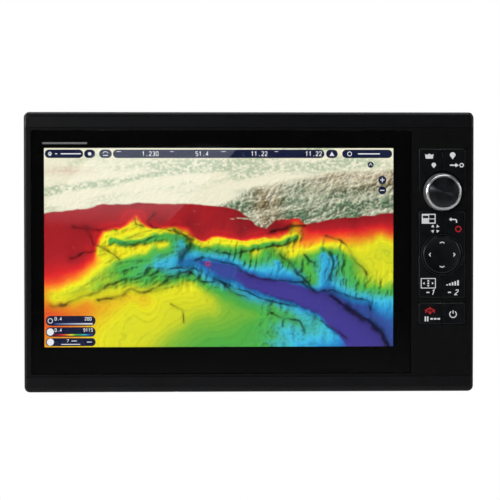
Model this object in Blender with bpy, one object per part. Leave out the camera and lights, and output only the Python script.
"""A console-mounted chartplotter display: a 13.3 inch touch screen beside a column of controls.

The controls are a push-and-turn knob, a four-way cursor pad and eight keys. Behind the bezel is a
cast case with a finned heat sink, a row of connectors and a memory card door.

Axes: +X to the right, +Z up, and the screen faces -Y. The origin is the middle of the console
panel's front surface, which the flange's foam gasket presses against. Sizes here are in
millimetres, and the meshes are made in metres.
"""

import math

import bmesh
import bpy
from mathutils import Matrix

MM = 0.001
FIT = 0.3  # clearance between two pieces that meet

# Bezel
WIDTH = 377.6
HEIGHT = 235.0
CORNER = 4.5
FRONT = -13.0  # the bezel's front surface
FLANGE_FRONT = -9.0  # what the trims cover
FLANGE_BACK = -2.0
TRIM_EDGE = 104.4  # half the height of the panel between the two trims
CHAMFER = 4.2  # how far the rounded edge reaches in from the outline
MOUNT_HOLE = 2.4
MOUNT_HOLE_X = 172.0
MOUNT_HOLE_Z = 111.0

# Screen
GLASS_SIZE = (318.6, 204.4)
GLASS_CENTRE = (-23.5, 0.2)
GLASS_FRONT = -12.9
GLASS_THICK = 2.0
LCD_SIZE = (304.6, 176.0)
LCD_CENTRE = (-25.8, 3.9)
LEDGE = -9.8  # the surface that carries the glass
POCKET_FLOOR = -3.6  # behind the display
WINDOW_HALF = (142.0, 80.0)  # half the opening in the pocket's floor
TAPE_INSET = 0.8  # the tape's edge stays inside the glass's by this
LCD_FRONT = -10.6
LCD_BACK = -9.0
BACKLIGHT = (-8.7, -5.2)
CHASSIS = (-4.9, -3.9)
STANDOFFS = [(x, z) for x in (-128.0, -10.0, 108.0) for z in (-34.0, 78.0)]

# Trims
CLIP_XS = (-140.0, -70.0, 70.0, 140.0)
CLIP_Z = 107.4
PRY_NOTCH_X = -61.2

# Controls
COLUMN_X = 162.0
BLOCK_WIDTH = 39.4
BLOCK_TOP = 86.9
UPPER_BLOCK = (51.3, BLOCK_TOP)
MIDDLE_BLOCK = (-38.7, 34.3)
LOWER_BLOCK = (-61.0, -42.7)
KEY_FRONT = -13.7
KEY_BACK = -9.2
KEY_LIP = 0.9
KEY_SPLIT = 0.4
PLUNGER_TIP = -7.0
WALL_BACK = -10.5
LIP_FLOOR = -7.9
BOARD_FRONT = -4.1
BOARD_BACK = -2.5
SWITCH_TOP = -5.7
KNOB_Z = 50.4
KNOB_RADIUS = 16.2
DISH_FLOOR = -11.6  # the recess that the knob stands in
KNOB_CUT = 18.9  # keys are cut back to this radius round the knob
CURSOR_Z = -2.2
CURSOR_RADIUS = 16.0
CURSOR_CUT = 18.4
BALL_Y = -8.6  # the middle of the ball that the pad rocks on
BALL_RADIUS = 2.2
CURSOR_REACH = 10.5  # from the pad's middle to each of its four switches
CURSOR_SPOTS = [(0, CURSOR_REACH), (0, -CURSOR_REACH), (CURSOR_REACH, 0), (-CURSOR_REACH, 0)]
BUSHING_HOLE = 4.9

# The keys: which half of the block, bottom and top, and where the plunger stands
MIDDLE_TOP = (CURSOR_Z + KEY_SPLIT / 2, MIDDLE_BLOCK[1])
MIDDLE_LOW = (MIDDLE_BLOCK[0], CURSOR_Z - KEY_SPLIT / 2)
SHARED_TOPS = (MIDDLE_LOW,)
SHARED_BOTTOMS = (MIDDLE_TOP, UPPER_BLOCK)
KEYS = {
    "key_event": (-1, UPPER_BLOCK, (151.0, 78.0)),
    "key_goto": (1, UPPER_BLOCK, (173.0, 78.0)),
    "key_home": (-1, MIDDLE_TOP, (148.5, 27.0)),
    "key_back": (1, MIDDLE_TOP, (175.5, 27.0)),
    "key_function_1": (-1, MIDDLE_LOW, (148.5, -31.5)),
    "key_function_2": (1, MIDDLE_LOW, (175.5, -31.5)),
    "key_autopilot": (-1, LOWER_BLOCK, (152.0, -51.8)),
    "key_power": (1, LOWER_BLOCK, (172.0, -51.8)),
}
PLUNGERS = [plunger for _, _, plunger in KEYS.values()]

# Case
LIP_SIZE = (359.0, 206.0)
CASE_HALF_WIDTH = 176.0
CASE_HALF_HEIGHT = 96.0
CASE_BACK = 44.0
BAY_BACK = 30.0
BAY_TOP = -50.0
CASE_WALL = 3.0
LIP_FRONT = -1.7
LIP_BACK = 2.3
SCREW_Z = 99.8
SCREW_XS = (-165.0, 0.0, 165.0)
EARTH_X = -158.0
EARTH_Z = -80.0
VENT_Z = -60.0
SINK_SPAN = (-34.0, 84.0)
SINK_HALF_WIDTH = 150.0
SINK_BACK = 60.5
SINK_BASE = 2.8
SINK_BORDER = 11.0  # from the base's side to the first fin
FIN_COUNT = 24
FIN_THICK = 2.2
CARD_X = 148.0
CARD_Z = -72.0
HINGE_Y = 32.8
HINGE_Z = -91.6
PIN_RADIUS = 1.15
PIN_HOLE = 1.5

# Connectors, in a row along the bay
CONNECTOR_Z = -72.0
SOCKET_WALL = BAY_BACK + FIT  # where each connector's flange sits
ROUND_CONNECTORS = {
    # name: x, flange, shell and bore radius, length and number of pins
    "power_connector": (-134.0, 12.0, 10.0, 8.2, 17.0, 7),
    "databus_connector": (-104.0, 9.0, 6.4, 4.8, 13.0, 5),
    "network_connector_1": (-71.0, 14.0, 12.0, 10.2, 12.0, 0),
    "network_connector_2": (-37.0, 14.0, 12.0, 10.2, 12.0, 0),
    "accessory_connector": (62.0, 12.0, 9.6, 7.8, 17.0, 9),
    "transducer_connector": (100.0, 15.0, 12.6, 10.6, 19.0, 10),
}
NETWORK_JACK = (12.0, 8.4)
SQUARE_PORTS = {
    # name: x, flange width and height, mouth width and height
    "video_output_port": (-4.0, (29.0, 17.0), (15.2, 5.6)),
    "service_port": (27.0, (27.0, 19.0), (13.2, 5.8)),
}

# Circuit boards
BOARD_THICK = 1.6
MAIN_BOARD_FRONT = 8.0
LOWER_BOARDS_FRONT = 6.0

# How far a cutter reaches past everything it cuts
AHEAD = -40.0
BEHIND = 80.0


# ---------------------------------------------------------------- outlines, in mm
def rounded_rect(width, height, radius, centre=(0.0, 0.0), steps=4):
    """A rectangle's corners as arcs, anticlockwise from the lower right."""
    points = []
    for corner, (sx, sz) in enumerate(((1, -1), (1, 1), (-1, 1), (-1, -1))):
        for step in range(steps + 1):
            turn = math.radians(90 * (corner - 1) + 90 * step / steps)
            x = sx * (width / 2 - radius) + radius * math.cos(turn)
            z = sz * (height / 2 - radius) + radius * math.sin(turn)
            points.append((centre[0] + x, centre[1] + z))
    return points


def rect(left, right, low, high):
    return [(left, low), (right, low), (right, high), (left, high)]


def centred_rect(width, height, centre):
    x, z = centre
    return rect(x - width / 2, x + width / 2, z - height / 2, z + height / 2)


def polygon(sides, radius):
    """A regular polygon, with a corner at the right."""
    turns = [2 * math.pi * n / sides for n in range(sides)]
    return [(radius * math.cos(t), radius * math.sin(t)) for t in turns]


# ---------------------------------------------------------------- solids
def loft(rings):
    """A closed solid through outlines of equal length: rings is a list of (outline, y)."""
    bm = bmesh.new()
    loops = [[bm.verts.new((x * MM, y * MM, z * MM)) for x, z in points] for points, y in rings]
    for near, far in zip(loops, loops[1:]):
        for i, corner in enumerate(near):
            j = (i + 1) % len(near)
            bm.faces.new((corner, near[j], far[j], far[i]))
    bm.faces.new(loops[0])
    bm.faces.new(loops[-1])
    bmesh.ops.recalc_face_normals(bm, faces=bm.faces)
    return bm


def prism(outline, front, back):
    return loft([(outline, front), (outline, back)])


def swept_x(outline, left, right):
    """A solid along X: outline is a list of (y, z)."""
    bm = prism([(-y, z) for y, z in outline], left, right)
    bmesh.ops.transform(bm, matrix=Matrix.Rotation(-math.pi / 2, 4, "Z"), verts=bm.verts)
    return bm


def swept_z(outline, low, high):
    """A solid along Z: outline is a list of (x, y)."""
    bm = prism([(x, -y) for x, y in outline], low, high)
    bmesh.ops.transform(bm, matrix=Matrix.Rotation(math.pi / 2, 4, "X"), verts=bm.verts)
    return bm


def block(left, right, low, high, front, back):
    return prism(rect(left, right, low, high), front, back)


def turned(profile, segments=32):
    """A solid of revolution about Y: profile is a closed list of (radius, y)."""
    bm = bmesh.new()
    rings = []
    for radius, y in profile:
        if radius == 0:
            rings.append([bm.verts.new((0, y * MM, 0))] * segments)
        else:
            around = polygon(segments, radius)
            rings.append([bm.verts.new((x * MM, y * MM, z * MM)) for x, z in around])
    for near, far in zip(rings, rings[1:] + rings[:1]):
        for i in range(segments):
            j = (i + 1) % segments
            corners = list(dict.fromkeys((near[i], near[j], far[j], far[i])))
            if len(corners) > 2:
                bm.faces.new(corners)
    bmesh.ops.recalc_face_normals(bm, faces=bm.faces)
    return bm


def rod(radius, front, back, segments=16):
    return turned([(0, front), (radius, front), (radius, back), (0, back)], segments)


def tube(outer, inner, front, back, segments=32):
    return turned([(inner, front), (outer, front), (outer, back), (inner, back)], segments)


def moved(bm, x=0.0, y=0.0, z=0.0):
    bmesh.ops.translate(bm, vec=(x * MM, y * MM, z * MM), verts=bm.verts)
    return bm


def together(solids):
    """Several solids in one mesh, which stay separate bodies."""
    joined = bmesh.new()
    for bm in solids:
        part = bpy.data.meshes.new("part")
        bm.to_mesh(part)
        bm.free()
        joined.from_mesh(part)
        bpy.data.meshes.remove(part)
    return joined


def ring(outer, inner, front, back):
    """A frame between two outlines with the same number of points."""
    bm = bmesh.new()
    loops = [
        [bm.verts.new((x * MM, y * MM, z * MM)) for x, z in points]
        for points, y in ((inner, front), (outer, front), (outer, back), (inner, back))
    ]
    for near, far in zip(loops, loops[1:] + loops[:1]):
        for i, corner in enumerate(near):
            j = (i + 1) % len(near)
            bm.faces.new((corner, near[j], far[j], far[i]))
    bmesh.ops.recalc_face_normals(bm, faces=bm.faces)
    return bm


# ---------------------------------------------------------------- objects
def finish(name, colour, roughness, metallic=0.0):
    material = bpy.data.materials.new(name)
    material.use_nodes = True
    shader = material.node_tree.nodes["Principled BSDF"]
    shader.inputs["Base Color"].default_value = (*colour, 1.0)
    shader.inputs["Roughness"].default_value = roughness
    shader.inputs["Metallic"].default_value = metallic
    return material


def place(name, bm, material=None, at=(0.0, 0.0, 0.0)):
    """An object from a solid, with its origin at the point given in mm."""
    mesh = bpy.data.meshes.new(name)
    bm.to_mesh(mesh)
    bm.free()
    if material:
        mesh.materials.append(material)
    mesh.shade_smooth()
    mesh.set_sharp_from_angle(angle=math.radians(35))
    made = bpy.data.objects.new(name, mesh)
    made.location = [c * MM for c in at]
    bpy.context.scene.collection.objects.link(made)
    return made


def combine(target, bm, operation, at=(0.0, 0.0, 0.0), solver="EXACT"):
    """Cuts the solid from the target, joins it on, or keeps what they share."""
    tool = place(f"{target.name}_tool_{len(target.modifiers)}", bm, at=at)
    tool.hide_render = True
    tool.display_type = "WIRE"
    modifier = target.modifiers.new(operation.lower(), "BOOLEAN")
    modifier.operation = operation
    modifier.solver = solver
    modifier.object = tool
    return tool


def cut(target, bm, at=(0.0, 0.0, 0.0), solver="EXACT"):
    return combine(target, bm, "DIFFERENCE", at, solver)


def add(target, bm, at=(0.0, 0.0, 0.0)):
    return combine(target, bm, "UNION", at)


# ---------------------------------------------------------------- bezel
def face_slab(back):
    """The bezel's full face with its rounded edge, from y = back forwards."""
    steps = ((0.0, back), (0.0, -10.4), (0.5, -11.7), (1.9, -12.6), (CHAMFER, FRONT))
    return loft(
        [
            (rounded_rect(WIDTH - 2 * inset, HEIGHT - 2 * inset, CORNER - inset * 0.6), y)
            for inset, y in steps
        ]
    )


def mount_holes(front, back, radius):
    spots = [(x, z) for x in (-MOUNT_HOLE_X, 0, MOUNT_HOLE_X) for z in (-MOUNT_HOLE_Z, MOUNT_HOLE_Z)]
    return together([moved(rod(radius, front, back, 12), x=x, z=z) for x, z in spots])


def clips(grow, front, back):
    """The four snap pegs on a trim, or, grown, the slots that they enter."""
    half_wide, half_high = 4 + grow, 1 + grow
    pegs = [block(x - half_wide, x + half_wide, -half_high, half_high, front, back) for x in CLIP_XS]
    return together(pegs)


def build_front_frame(plastic):
    flange = prism(rounded_rect(WIDTH, HEIGHT, CORNER), FLANGE_FRONT, FLANGE_BACK)
    frame = place("front_frame", flange, plastic)
    panel = add(frame, face_slab(FLANGE_FRONT + 1.0))
    combine(panel, block(-WIDTH, WIDTH, -TRIM_EDGE, TRIM_EDGE, AHEAD, BEHIND), "INTERSECT")
    cut_screen_openings(frame)
    cut_control_openings(frame)
    # The many small holes in large flat faces need the MANIFOLD solver
    cut(frame, mount_holes(AHEAD, BEHIND, MOUNT_HOLE), solver="MANIFOLD")
    for side in (-1, 1):
        cut(frame, clips(FIT, AHEAD, -4.8), (0, 0, side * CLIP_Z), "MANIFOLD")
        screws = [moved(rod(1.7, -7.2, 0, 8), x=x, z=side * SCREW_Z) for x in SCREW_XS]
        cut(frame, together(screws), solver="MANIFOLD")


def cut_screen_openings(frame):
    glass_hole = rounded_rect(GLASS_SIZE[0] + 0.6, GLASS_SIZE[1] + 0.6, 2.3, GLASS_CENTRE, 3)
    cut(frame, prism(glass_hole, AHEAD, LEDGE))
    centre = (LCD_CENTRE[0], 0, LCD_CENTRE[1])
    half_w, half_h = LCD_SIZE[0] / 2 + 0.5, LCD_SIZE[1] / 2 + 0.5
    cut(frame, block(-half_w, half_w, -half_h, half_h, AHEAD, POCKET_FLOOR), centre)
    half_w, half_h = WINDOW_HALF
    cut(frame, block(-half_w, half_w, -half_h, half_h, POCKET_FLOOR - 2, BEHIND), centre)


def cut_control_openings(frame):
    """The knob's dish, the bushing's hole and the openings that the keys stand in."""
    knob = (COLUMN_X, 0, KNOB_Z)
    cut(frame, rod(17.9, AHEAD, DISH_FLOOR, 40), knob)
    half = BLOCK_WIDTH / 2 + FIT
    for low, high in (UPPER_BLOCK, MIDDLE_BLOCK, LOWER_BLOCK):
        opening = cut(frame, block(-half, half, low - FIT, high + FIT, AHEAD, -9), (COLUMN_X, 0, 0))
        if low > LOWER_BLOCK[0]:
            combine(opening, rod(KNOB_CUT - FIT, AHEAD, BEHIND, 48), "DIFFERENCE", knob)
    # Behind the wall the openings are one, wider for the keys' lips, then narrower for the key mat
    low, high = LOWER_BLOCK[0] - 1.5, BLOCK_TOP + 1.5
    cut(frame, block(141.0, 183.0, low, high, WALL_BACK, LIP_FLOOR))
    cut(frame, block(141.6, 179.5, low - 0.8, high + 0.8, LIP_FLOOR - 0.5, BEHIND))
    cut(frame, rod(BUSHING_HOLE, AHEAD, BEHIND, 16), knob)


def build_trims(plastic):
    for name, side in (("top_trim", 1), ("bottom_trim", -1)):
        trim = place(name, face_slab(FLANGE_FRONT - FIT), plastic)
        edges = sorted((side * (TRIM_EDGE + FIT), side * HEIGHT))
        combine(trim, block(-WIDTH, WIDTH, *edges, AHEAD, BEHIND), "INTERSECT")
        add(trim, clips(0, -10, -5.2), (0, 0, side * CLIP_Z))
        if side < 0:
            notch = [(-2.6, -1.0), (2.6, -1.0), (1.2, 0.8), (-1.2, 0.8)]
            cut(trim, prism(notch, AHEAD, BEHIND), (PRY_NOTCH_X, 0, -HEIGHT / 2))


def build_gasket(foam):
    outer = rounded_rect(WIDTH - 2.6, HEIGHT - 2.6, 3.5)
    inner = rounded_rect(362.0, 209.0, 3.5)
    gasket = place("console_gasket", ring(outer, inner, FLANGE_BACK + 0.2, 0.0), foam)
    cut(gasket, mount_holes(AHEAD, BEHIND, MOUNT_HOLE + 0.4))


# ---------------------------------------------------------------- screen
def lcd_outline(shrink, radius):
    return rounded_rect(LCD_SIZE[0] - shrink, LCD_SIZE[1] - shrink, radius, LCD_CENTRE, 1)


def build_screen(glass, black, metal, diffuser):
    width, height = GLASS_SIZE
    edge = rounded_rect(width, height, 2.0, GLASS_CENTRE, 3)
    eased = rounded_rect(width - 0.7, height - 0.7, 1.7, GLASS_CENTRE, 3)
    back = GLASS_FRONT + GLASS_THICK
    place("cover_glass", loft([(eased, GLASS_FRONT), (edge, GLASS_FRONT + 0.35), (edge, back)]), glass)
    outer = centred_rect(width - 2 * TAPE_INSET, height - 2 * TAPE_INSET, GLASS_CENTRE)
    hole = centred_rect(LCD_SIZE[0] + 2.0, LCD_SIZE[1] + 2.0, LCD_CENTRE)
    place("glass_tape", ring(outer, hole, back + 0.2, LEDGE - 0.2), black)
    place("lcd_panel", prism(lcd_outline(0, 1.0), LCD_FRONT, LCD_BACK), black)
    place("lcd_backlight", prism(lcd_outline(1.0, 1.5), *BACKLIGHT), diffuser)
    chassis = place("lcd_chassis", prism(lcd_outline(2.0, 2.0), *CHASSIS), metal)
    # The main board sits on six standoffs, whose pegs pass through it
    rest, tip = MAIN_BOARD_FRONT - FIT, MAIN_BOARD_FRONT + BOARD_THICK + 1.3
    foot = (CHASSIS[0] + CHASSIS[1]) / 2
    standoff = [(0, foot), (3.2, foot), (3.2, rest), (1.3, rest), (1.3, tip), (0, tip)]
    add(chassis, together([moved(turned(standoff, 8), x=x, z=z) for x, z in STANDOFFS]))


# ---------------------------------------------------------------- keys
def build_key(name, side, span, plunger, rubber):
    """One key of a block: side is -1 for the left half, and span its bottom and top."""
    low, high = span
    inner, outer = side * KEY_SPLIT / 2, side * BLOCK_WIDTH / 2
    middle = ((inner + outer) / 2, (low + high) / 2)
    cap_w, cap_h = abs(outer - inner), high - low
    eased = rounded_rect(cap_w - 0.6, cap_h - 0.6, 0.9, middle, 2)
    full = rounded_rect(cap_w, cap_h, 1.2, middle, 2)
    cap = loft([(eased, KEY_FRONT), (full, KEY_FRONT + 0.35), (full, KEY_BACK)])
    key = place(name, cap, rubber, (COLUMN_X, 0, 0))
    # The lip stays on the sides that face the bezel's wall
    top_lip = 0.0 if span in SHARED_TOPS else KEY_LIP
    low_lip = 0.0 if span in SHARED_BOTTOMS else KEY_LIP
    left, right = sorted((inner, outer + side * KEY_LIP))
    lip = block(left, right, low - low_lip, high + top_lip, KEY_BACK - 1.0, KEY_BACK)
    add(key, lip, (COLUMN_X, 0, 0))
    cut(key, rod(KNOB_CUT, AHEAD, BEHIND, 48), (COLUMN_X, 0, KNOB_Z))
    cut(key, rod(CURSOR_CUT, AHEAD, BEHIND, 48), (COLUMN_X, 0, CURSOR_Z))
    add(key, rod(1.6, KEY_BACK - 0.8, PLUNGER_TIP, 8), (plunger[0], 0, plunger[1]))


def build_key_stack(silicone, board_green):
    mat = place("key_mat", block(142.4, 178.8, -61.6, 87.6, LIP_FLOOR, -7.1), silicone)
    cut(mat, together([moved(rod(2.3, AHEAD, BEHIND, 8), x=x, z=z) for x, z in PLUNGERS]))
    cut(mat, rod(18.6, AHEAD, BEHIND, 24), (COLUMN_X, 0, CURSOR_Z))
    cut(mat, rod(11.0, AHEAD, BEHIND, 16), (COLUMN_X, 0, KNOB_Z))
    board = place("key_board", block(142.4, 178.8, -62.4, 88.0, BOARD_FRONT, BOARD_BACK), board_green)
    # Each switch is a square can with a round button on it
    for x, z in PLUNGERS + [(COLUMN_X + x, CURSOR_Z + z) for x, z in CURSOR_SPOTS]:
        add(board, block(x - 2.3, x + 2.3, z - 2.3, z + 2.3, -5.2, BOARD_FRONT + 0.3))
        add(board, moved(rod(1.3, SWITCH_TOP, -5.0, 6), x=x, z=z))


def build_cursor(rubber, plastic):
    centre = (COLUMN_X, 0, CURSOR_Z)
    crown = [(16.5, -13.2), (16.9, -13.6), (17.6, -13.6), (18.0, -13.1)]
    foot = BOARD_FRONT - 0.3
    collar = [(16.5, foot)] + crown + [(18.0, -9.6), (17.2, -9.6), (17.2, foot)]
    place("cursor_collar", turned(collar, 40), plastic, centre)
    # The pad rocks one way on the pivot's ball, and the pivot rocks the other way on its foot
    neck = 1.7
    steps = 6
    arc = [(0.0, BALL_Y - BALL_RADIUS)]
    for n in range(1, steps + 1):
        turn = (math.pi - math.asin(neck / BALL_RADIUS)) * n / steps
        arc.append((BALL_RADIUS * math.sin(turn), BALL_Y - BALL_RADIUS * math.cos(turn)))
    stem = [(neck, -5.2), (2.2, -4.9), (2.2, foot), (0.0, foot)]
    place("cursor_pivot", turned(arc + stem, 12), plastic, centre)
    # The pad is dished, with a rounded rim, and a hub under it sits on the ball
    front = [(0, -13.3), (9.5, -13.6), (14.4, -14.2), (15.4, -14.1)]
    rim = [(CURSOR_RADIUS, -13.5), (CURSOR_RADIUS, -11.9)]
    hub = [(4.2, -11.9), (4.2, -9.3), (2.6, -9.3), (2.6, -11.1), (0, -11.1)]
    profile = [(radius, y - BALL_Y) for radius, y in front + rim + hub]
    pad = place("cursor_pad", turned(profile, 32), rubber, (COLUMN_X, BALL_Y, CURSOR_Z))
    prongs = [moved(rod(1.3, -12.4, -6.5, 8), x=x, z=z) for x, z in CURSOR_SPOTS]
    add(pad, together(prongs), centre)


# ---------------------------------------------------------------- knob
def build_knob(chrome, black, steel, plastic, brass):
    centre = (COLUMN_X, 0, KNOB_Z)
    base = FRONT + 0.2
    outside = [
        (12.95, -25.1), (12.95, -26.1), (13.4, -26.3), (14.4, -26.0), (15.0, -24.9),
        (15.5, -17.0), (KNOB_RADIUS, -13.8), (KNOB_RADIUS, base),
    ]
    inside = [(14.0, base), (14.0, -20.5), (5.6, -20.5), (5.6, -14.6), (3.35, -14.6), (3.35, -22.4)]
    place("knob_body", turned([(0, -25.1)] + outside + inside + [(0, -22.4)], 32), chrome, centre)
    insert = [(0, -25.9), (12.3, -26.1), (12.7, -25.8), (12.7, -25.35), (0, -25.35)]
    place("knob_insert", turned(insert, 32), black, centre)
    spindle = [(0, -22.1), (2.7, -22.1), (3.0, -21.8), (3.0, -5.3), (0, -5.3)]
    shaft = place("encoder_shaft", turned(spindle, 16), steel, centre)
    # A flat along the shaft carries the turn from the knob to the rotor
    cut(shaft, block(-4, 4, 2.2, 4, AHEAD, -14.9), centre)
    can = block(-6.2, 6.2, -6.2, 6.2, -10.2, BOARD_FRONT - 0.2)
    housing = place("encoder_body", can, plastic, centre)
    add(housing, rod(4.5, -13.3, -10, 16), centre)
    cut(housing, rod(5.4, -9.4, -5.2, 16), centre)
    cut(housing, rod(3.4, AHEAD, BEHIND, 16), centre)
    nut = place("encoder_nut", prism(polygon(6, 6.6), -12.6, DISH_FLOOR - FIT), brass, centre)
    cut(nut, rod(BUSHING_HOLE, AHEAD, BEHIND, 16), centre)
    place("encoder_rotor", tube(4.9, 3.4, -9.0, -5.6, 16), steel, centre)


# ---------------------------------------------------------------- case
def case_outline(inset):
    """The case from the side: the connector bay is shallower than the rest."""
    top, bottom = CASE_HALF_HEIGHT - inset, -CASE_HALF_HEIGHT + inset
    deep, shallow = CASE_BACK - inset, BAY_BACK - inset
    step = BAY_TOP + inset * 0.4
    start = -1.0 if inset == 0 else -6.0
    front = [(deep, top), (start, top), (start, bottom)]
    return front + [(shallow, bottom), (shallow, step), (deep, step + 9.0)]


def case_block():
    """The case's solid outside, with its rear edges and corners rounded off."""
    bm = swept_x(case_outline(0), -CASE_HALF_WIDTH, CASE_HALF_WIDTH)
    rear = [e for e in bm.edges if all(v.co.y > 0.02 for v in e.verts)]
    concave = [e for e in rear if all(abs(v.co.z - BAY_TOP * MM) < 1e-5 for v in e.verts)]
    sides = [e for e in bm.edges if abs(e.verts[0].co.y - e.verts[1].co.y) > 0.02]
    chosen = [e for e in rear if e not in concave] + sides
    bmesh.ops.bevel(bm, geom=chosen, offset=4.0 * MM, segments=2, profile=0.5, affect="EDGES")
    return bm


def build_case(cast, rubber, steel):
    case = place("rear_case", case_block(), cast)
    add(case, prism(rounded_rect(*LIP_SIZE, 7.0), LIP_FRONT, LIP_BACK))
    half = CASE_HALF_WIDTH - CASE_WALL
    cut(case, swept_x(case_outline(CASE_WALL), -half, half))
    groove = ring(rounded_rect(355.0, 195.4, 3.0), rounded_rect(350.2, 190.6, 2.0), LIP_FRONT - 1, -0.2)
    cut(case, groove)
    seal = ring(rounded_rect(354.4, 194.8, 3.0), rounded_rect(350.8, 191.2, 2.0), LIP_FRONT - 0.1, -0.5)
    place("case_seal", seal, rubber)
    spots = [(x, z) for z in (SCREW_Z, -SCREW_Z) for x in SCREW_XS]
    cut(case, together([moved(rod(1.75, -5, 6, 8), x=x, z=z) for x, z in spots]))
    head = [(0, 3.9), (1.3, 3.9), (1.3, 5.1), (2.3, 5.1), (2.7, 4.6), (2.7, 2.6), (1.4, 2.6)]
    for n, (x, z) in enumerate(spots, 1):
        place(f"case_screw_{n}", turned(head + [(1.4, -6.4), (0, -6.4)], 8), steel, (x, 0, z))
    build_card_compartment(case)
    return case


def build_card_compartment(case):
    """A tub sunk into the bay's wall, and two ears that carry the card door's pin."""
    add(case, block(-20, 20, -16, 16, 12, BAY_BACK - 1), (CARD_X, 0, CARD_Z))
    cut(case, block(-17.5, 17.5, -13.5, 13.5, 14.5, BEHIND), (CARD_X, 0, CARD_Z))
    reach = 2.6
    foot = BAY_BACK - 1.5
    ear = [(foot, HINGE_Z - reach), (HINGE_Y, HINGE_Z - reach)]
    ear += [(HINGE_Y + reach * math.cos(t), HINGE_Z + reach * math.sin(t)) for t in (-0.8, 0, 0.8)]
    ear += [(HINGE_Y, HINGE_Z + reach), (foot, HINGE_Z + reach)]
    for left, right in ((-17.0, -11.5), (11.5, 17.0)):
        add(case, swept_x(ear, left, right), (CARD_X, 0, 0))
    cut(case, swept_x(polygon(8, PIN_HOLE), -30, 30), (CARD_X, HINGE_Y, HINGE_Z))


def build_card_door(plastic, rubber, steel):
    """The door, its pin and its seal, with the door's origin on its hinge."""
    origin = (CARD_X, HINGE_Y, HINGE_Z)
    place("card_door_pin", swept_x(polygon(8, PIN_RADIUS), -17.2, 17.2), steel, origin)
    front, back = BAY_BACK + 0.4 - HINGE_Y, BAY_BACK + 3.4 - HINGE_Y
    centre = (0, CARD_Z - HINGE_Z)
    low, high = centre[1] - 16.2, centre[1] + 19.2
    middle = (0, (low + high) / 2)
    outline = rounded_rect(40.0, high - low, 3.0, middle)
    eased = rounded_rect(38.4, high - low - 1.6, 2.6, middle)
    panel = loft([(outline, front), (outline, back - 0.8), (eased, back)])
    door = place("card_door", panel, plastic, origin)
    add(door, swept_x(polygon(12, 2.3), -11.1, 11.1), origin)
    add(door, block(-9, 9, 0, low + 2, -0.6, back - 0.4), origin)
    add(door, block(-7, 7, high - 2.4, high + 2.2, front + 0.9, back - 0.9), origin)
    cut(door, swept_x(polygon(8, PIN_HOLE), -20, 20), origin)
    # The seal sits in a groove round the compartment's mouth
    outer, inner = rounded_rect(38.2, 30.2, 1.9, centre), rounded_rect(35.6, 27.6, 1.5, centre)
    cut(door, ring(outer, inner, front - 1, front + 1.2), origin)
    outer, inner = rounded_rect(37.8, 29.8, 1.9, centre), rounded_rect(36.0, 28.0, 1.5, centre)
    place("card_door_seal", ring(outer, inner, front - 0.25, front + 0.9), rubber, origin)


def build_card_reader(plastic):
    centre = (CARD_X, 0, CARD_Z)
    reader = place("card_reader", block(-14, 14, -8.5, 8.5, 14.8, 20.0), plastic, centre)
    slots = [block(-5.8, 5.8, z - 0.8, z + 0.8, 15.6, BEHIND) for z in (-4.0, 4.0)]
    cut(reader, together(slots), centre)


def build_heat_sink(aluminium):
    """A comb of fins, each tapered towards its tip."""
    front = CASE_BACK + FIT
    base = front + SINK_BASE
    first = -SINK_HALF_WIDTH + SINK_BORDER
    pitch = -2 * first / (FIN_COUNT - 1)
    root, tip = FIN_THICK / 2, FIN_THICK * 0.36
    comb = [(-SINK_HALF_WIDTH, front), (SINK_HALF_WIDTH, front), (SINK_HALF_WIDTH, base)]
    for n in reversed(range(FIN_COUNT)):
        x = first + pitch * n
        comb += [(x + root, base), (x + tip, SINK_BACK), (x - tip, SINK_BACK), (x - root, base)]
    comb.append((-SINK_HALF_WIDTH, base))
    place("heat_sink", swept_z(comb, *SINK_SPAN), aluminium)


# ---------------------------------------------------------------- connectors
def round_connector(name, size, material):
    """A panel connector: a flange on the wall, a shell with a bore, and pins in a circle."""
    x, flange, shell, bore, length, pins = size
    centre = (x, 0, CONNECTOR_Z)
    wall, mouth = SOCKET_WALL, SOCKET_WALL + length
    floor, tail = wall + 4.0, 22.0
    profile = [
        (0, floor), (bore, floor), (bore, mouth), (shell - 0.5, mouth), (shell, mouth - 0.5),
        (shell, wall + 2.4), (flange, wall + 2.4), (flange, wall), (shell, wall), (shell, tail), (0, tail),
    ]
    connector = place(name, turned(profile, 20), material, centre)
    if pins:
        circle = polygon(pins, bore * 0.52)
        tips = [moved(rod(0.6, floor - 1, mouth - 5.2, 5), x=px, z=pz) for px, pz in circle]
        add(connector, together(tips), centre)
    else:
        half_wide, half_high = NETWORK_JACK[0] / 2, NETWORK_JACK[1] / 2
        cut(connector, block(-half_wide, half_wide, -half_high, half_high, tail + 2, BEHIND), centre)


def port_neck(size, grow=0.0):
    """The outline of the part of a port that passes through the wall."""
    return rounded_rect(size[0] - 8 + 2 * grow, size[1] - 6 + 2 * grow, 1.5 + grow)


def square_port(name, x, size, mouth, material):
    """A rectangular panel port with a tongue in its mouth."""
    centre = (x, 0, CONNECTOR_Z)
    flange = prism(rounded_rect(*size, 3.0), SOCKET_WALL, SOCKET_WALL + 2.6)
    port = place(name, flange, material, centre)
    add(port, prism(port_neck(size), 20.0, SOCKET_WALL + 4.4), centre)
    half_wide, half_high = mouth[0] / 2, mouth[1] / 2
    cut(port, block(-half_wide, half_wide, -half_high, half_high, 23.5, BEHIND), centre)
    tongue = half_wide - 1.2
    add(port, block(-tongue, tongue, -0.7, 0.7, 23, SOCKET_WALL - 0.4), centre)


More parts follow.
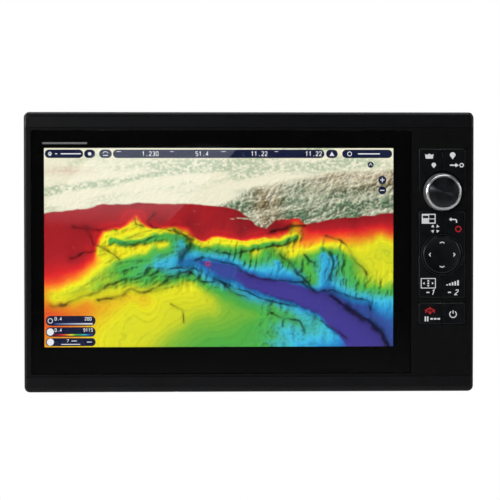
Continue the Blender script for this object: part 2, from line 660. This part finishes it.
def build_connectors(case, black, steel, brass):
    """The row of connectors, and the holes in the case that they stand in."""
    wall = (20, 40)
    holes = []
    for name, size in ROUND_CONNECTORS.items():
        round_connector(name, size, black)
        x, _, shell = size[:3]
        holes.append(moved(rod(shell + 2 * FIT, *wall, 20), x=x, z=CONNECTOR_Z))
    for name, (x, size, mouth) in SQUARE_PORTS.items():
        square_port(name, x, size, mouth, black)
        holes.append(moved(prism(port_neck(size, FIT), *wall), x=x, z=CONNECTOR_Z))
    cut(case, together(holes))
    build_earth(brass, steel)
    cut(case, rod(2.4, *wall, 12), (EARTH_X, 0, EARTH_Z))
    cap = [(0, 33.2), (3.0, 33.2), (3.4, 32.8), (5.6, 32.2), (6.0, 31.4), (6.0, SOCKET_WALL)]
    stem = [(3.6, SOCKET_WALL), (3.6, 25.5), (0, 25.5)]
    place("breather_vent", turned(cap + stem, 12), black, (EARTH_X, 0, VENT_Z))
    cut(case, rod(4.0, *wall, 12), (EARTH_X, 0, VENT_Z))


def build_earth(brass, steel):
    """The earth stud with its collar, and the wing nut on it."""
    origin = (EARTH_X, 0, EARTH_Z)
    collar = [(2.0, SOCKET_WALL), (4.6, SOCKET_WALL), (4.6, 31.8), (2.0, 31.8)]
    stud = [(0, 24.0), (2.0, 24.0)] + collar + [(2.0, 42.0), (1.6, 42.6), (0, 42.6)]
    place("earth_stud", turned(stud, 12), brass, origin)
    nut = place("earth_nut", tube(3.9, 2.3, 32.2, 36.8, 12), steel, origin)
    wings = [block(left, left + 6.2, -0.8, 0.8, 32.8, 38.8) for left in (-9.6, 3.4)]
    add(nut, together(wings), origin)


# ---------------------------------------------------------------- electronics
def strip(path, thickness):
    """The outline of a bent flat cable from its centreline."""
    left, right = [], []
    for i, (u, v) in enumerate(path):
        before, after = path[max(i - 1, 0)], path[min(i + 1, len(path) - 1)]
        du, dv = after[0] - before[0], after[1] - before[1]
        size = math.hypot(du, dv)
        nu, nv = -dv / size * thickness / 2, du / size * thickness / 2
        left.append((u + nu, v + nv))
        right.append((u - nu, v - nv))
    return left + right[::-1]


def board(name, left, right, low, high, front, material):
    return place(name, block(left, right, low, high, front, front + BOARD_THICK), material)


def build_electronics(green, metal, ceramic, film):
    main_board = board("main_board", -134, 114, -40, 84, MAIN_BOARD_FRONT, green)
    cut(main_board, together([moved(rod(1.8, AHEAD, BEHIND, 8), x=x, z=z) for x, z in STANDOFFS]))
    # left, right, low, high and height of each package on the board's rear
    packages = [
        (-16, 16, 19, 51, 2.2), (-44, -24, 38, 52, 1.2), (-44, -24, 20, 34, 1.2), (24, 44, 38, 52, 1.2),
        (24, 44, 20, 34, 1.2), (-100, -70, 0, 22, 3.0), (-100, -84, 40, 56, 6.5), (60, 84, -6, 8, 2.0),
        (60, 96, 40, 64, 3.5), (-60, -36, -30, -18, 4.5), (0, 30, -32, -20, 4.5), (50, 74, -32, -20, 4.5),
    ]
    rear = MAIN_BOARD_FRONT + BOARD_THICK
    add(main_board, together([block(*edges, rear - 0.6, rear + tall) for *edges, tall in packages]))
    spreader = place("heat_spreader", block(-28, 28, 8, 62, 26.0, 40.7), metal)
    add(spreader, block(-17, 17, 18, 52, 12.5, 27.0))
    board("transceiver_board", -4, 120, -91, -54, LOWER_BOARDS_FRONT, green)
    can = place("shield_can", block(8, 92, -88, -58, 7.9, 17.0), metal)
    cut(can, block(8.6, 91.4, -87.4, -58.6, 5, 16.4))
    # The power board carries a connector block, two coils and three capacitors
    power = board("power_board", -166, -36, -91, -54, LOWER_BOARDS_FRONT, green)
    parts = [moved(rod(8.5, 7.0, 16.0, 12), x=x, z=-64) for x in (-148, -124)]
    parts += [moved(rod(5.0, 7.0, 19.0, 8), x=x, z=-64) for x in (-98, -84, -70)]
    add(power, together(parts + [block(-150, -90, -88, -80, 7.0, 14.0)]))
    place("position_antenna", block(84, 109, 40, 65, 3.4, 7.7), ceramic)
    # The flat cables, as (y, z) and as (x, y)
    screen_path = [(-3.5, -58.0), (-2.6, -58.0), (0.2, -56.5), (3.4, -53.0), (5.4, -48.0), (6.3, -43.0)]
    screen_path.append((6.6, -37.5))
    place("screen_ribbon", swept_x(strip(screen_path, 0.4), 40.0, 70.0), film)
    key_path = [(152.0, -2.2), (152.0, 0.6), (150.5, 4.2), (146.0, 7.4), (139.0, 9.4), (129.0, 10.2)]
    key_path.append((110.0, 10.2))
    place("key_ribbon", swept_z(strip(key_path, 0.4), 4.0, 20.0), film)


def main():
    for old in list(bpy.data.objects):
        bpy.data.objects.remove(old, do_unlink=True)
    black = finish("black_plastic", (0.012, 0.013, 0.016), 0.55)
    cast = finish("cast_case", (0.02, 0.021, 0.023), 0.5, 0.3)
    glass = finish("cover_glass", (0.004, 0.004, 0.005), 0.05)
    film = finish("screen_black", (0.006, 0.006, 0.007), 0.35)
    foam = finish("foam", (0.03, 0.03, 0.03), 0.95)
    rubber = finish("key_rubber", (0.014, 0.016, 0.019), 0.7)
    silicone = finish("silicone", (0.35, 0.36, 0.38), 0.6)
    chrome = finish("satin_chrome", (0.62, 0.63, 0.65), 0.22, 1.0)
    insert = finish("spun_black", (0.02, 0.02, 0.022), 0.25, 0.8)
    steel = finish("steel", (0.55, 0.56, 0.57), 0.3, 1.0)
    brass = finish("plated_brass", (0.68, 0.58, 0.36), 0.3, 1.0)
    green = finish("circuit_board", (0.02, 0.12, 0.05), 0.45)
    aluminium = finish("aluminium", (0.05, 0.052, 0.055), 0.45, 0.5)
    bare = finish("bare_aluminium", (0.72, 0.73, 0.74), 0.4, 1.0)
    ceramic = finish("ceramic", (0.72, 0.68, 0.58), 0.5)
    amber = finish("cable_film", (0.75, 0.42, 0.1), 0.35)
    white = finish("diffuser", (0.8, 0.8, 0.82), 0.6)

    build_front_frame(black)
    build_trims(black)
    build_gasket(foam)
    build_screen(glass, film, bare, white)
    for name, (side, span, plunger) in KEYS.items():
        build_key(name, side, span, plunger, rubber)
    build_key_stack(silicone, green)
    build_cursor(rubber, black)
    build_knob(chrome, insert, steel, black, brass)
    case = build_case(cast, silicone, steel)
    build_card_door(black, silicone, steel)
    build_card_reader(black)
    build_heat_sink(aluminium)
    build_connectors(case, black, steel, brass)
    build_electronics(green, bare, ceramic, amber)


main()
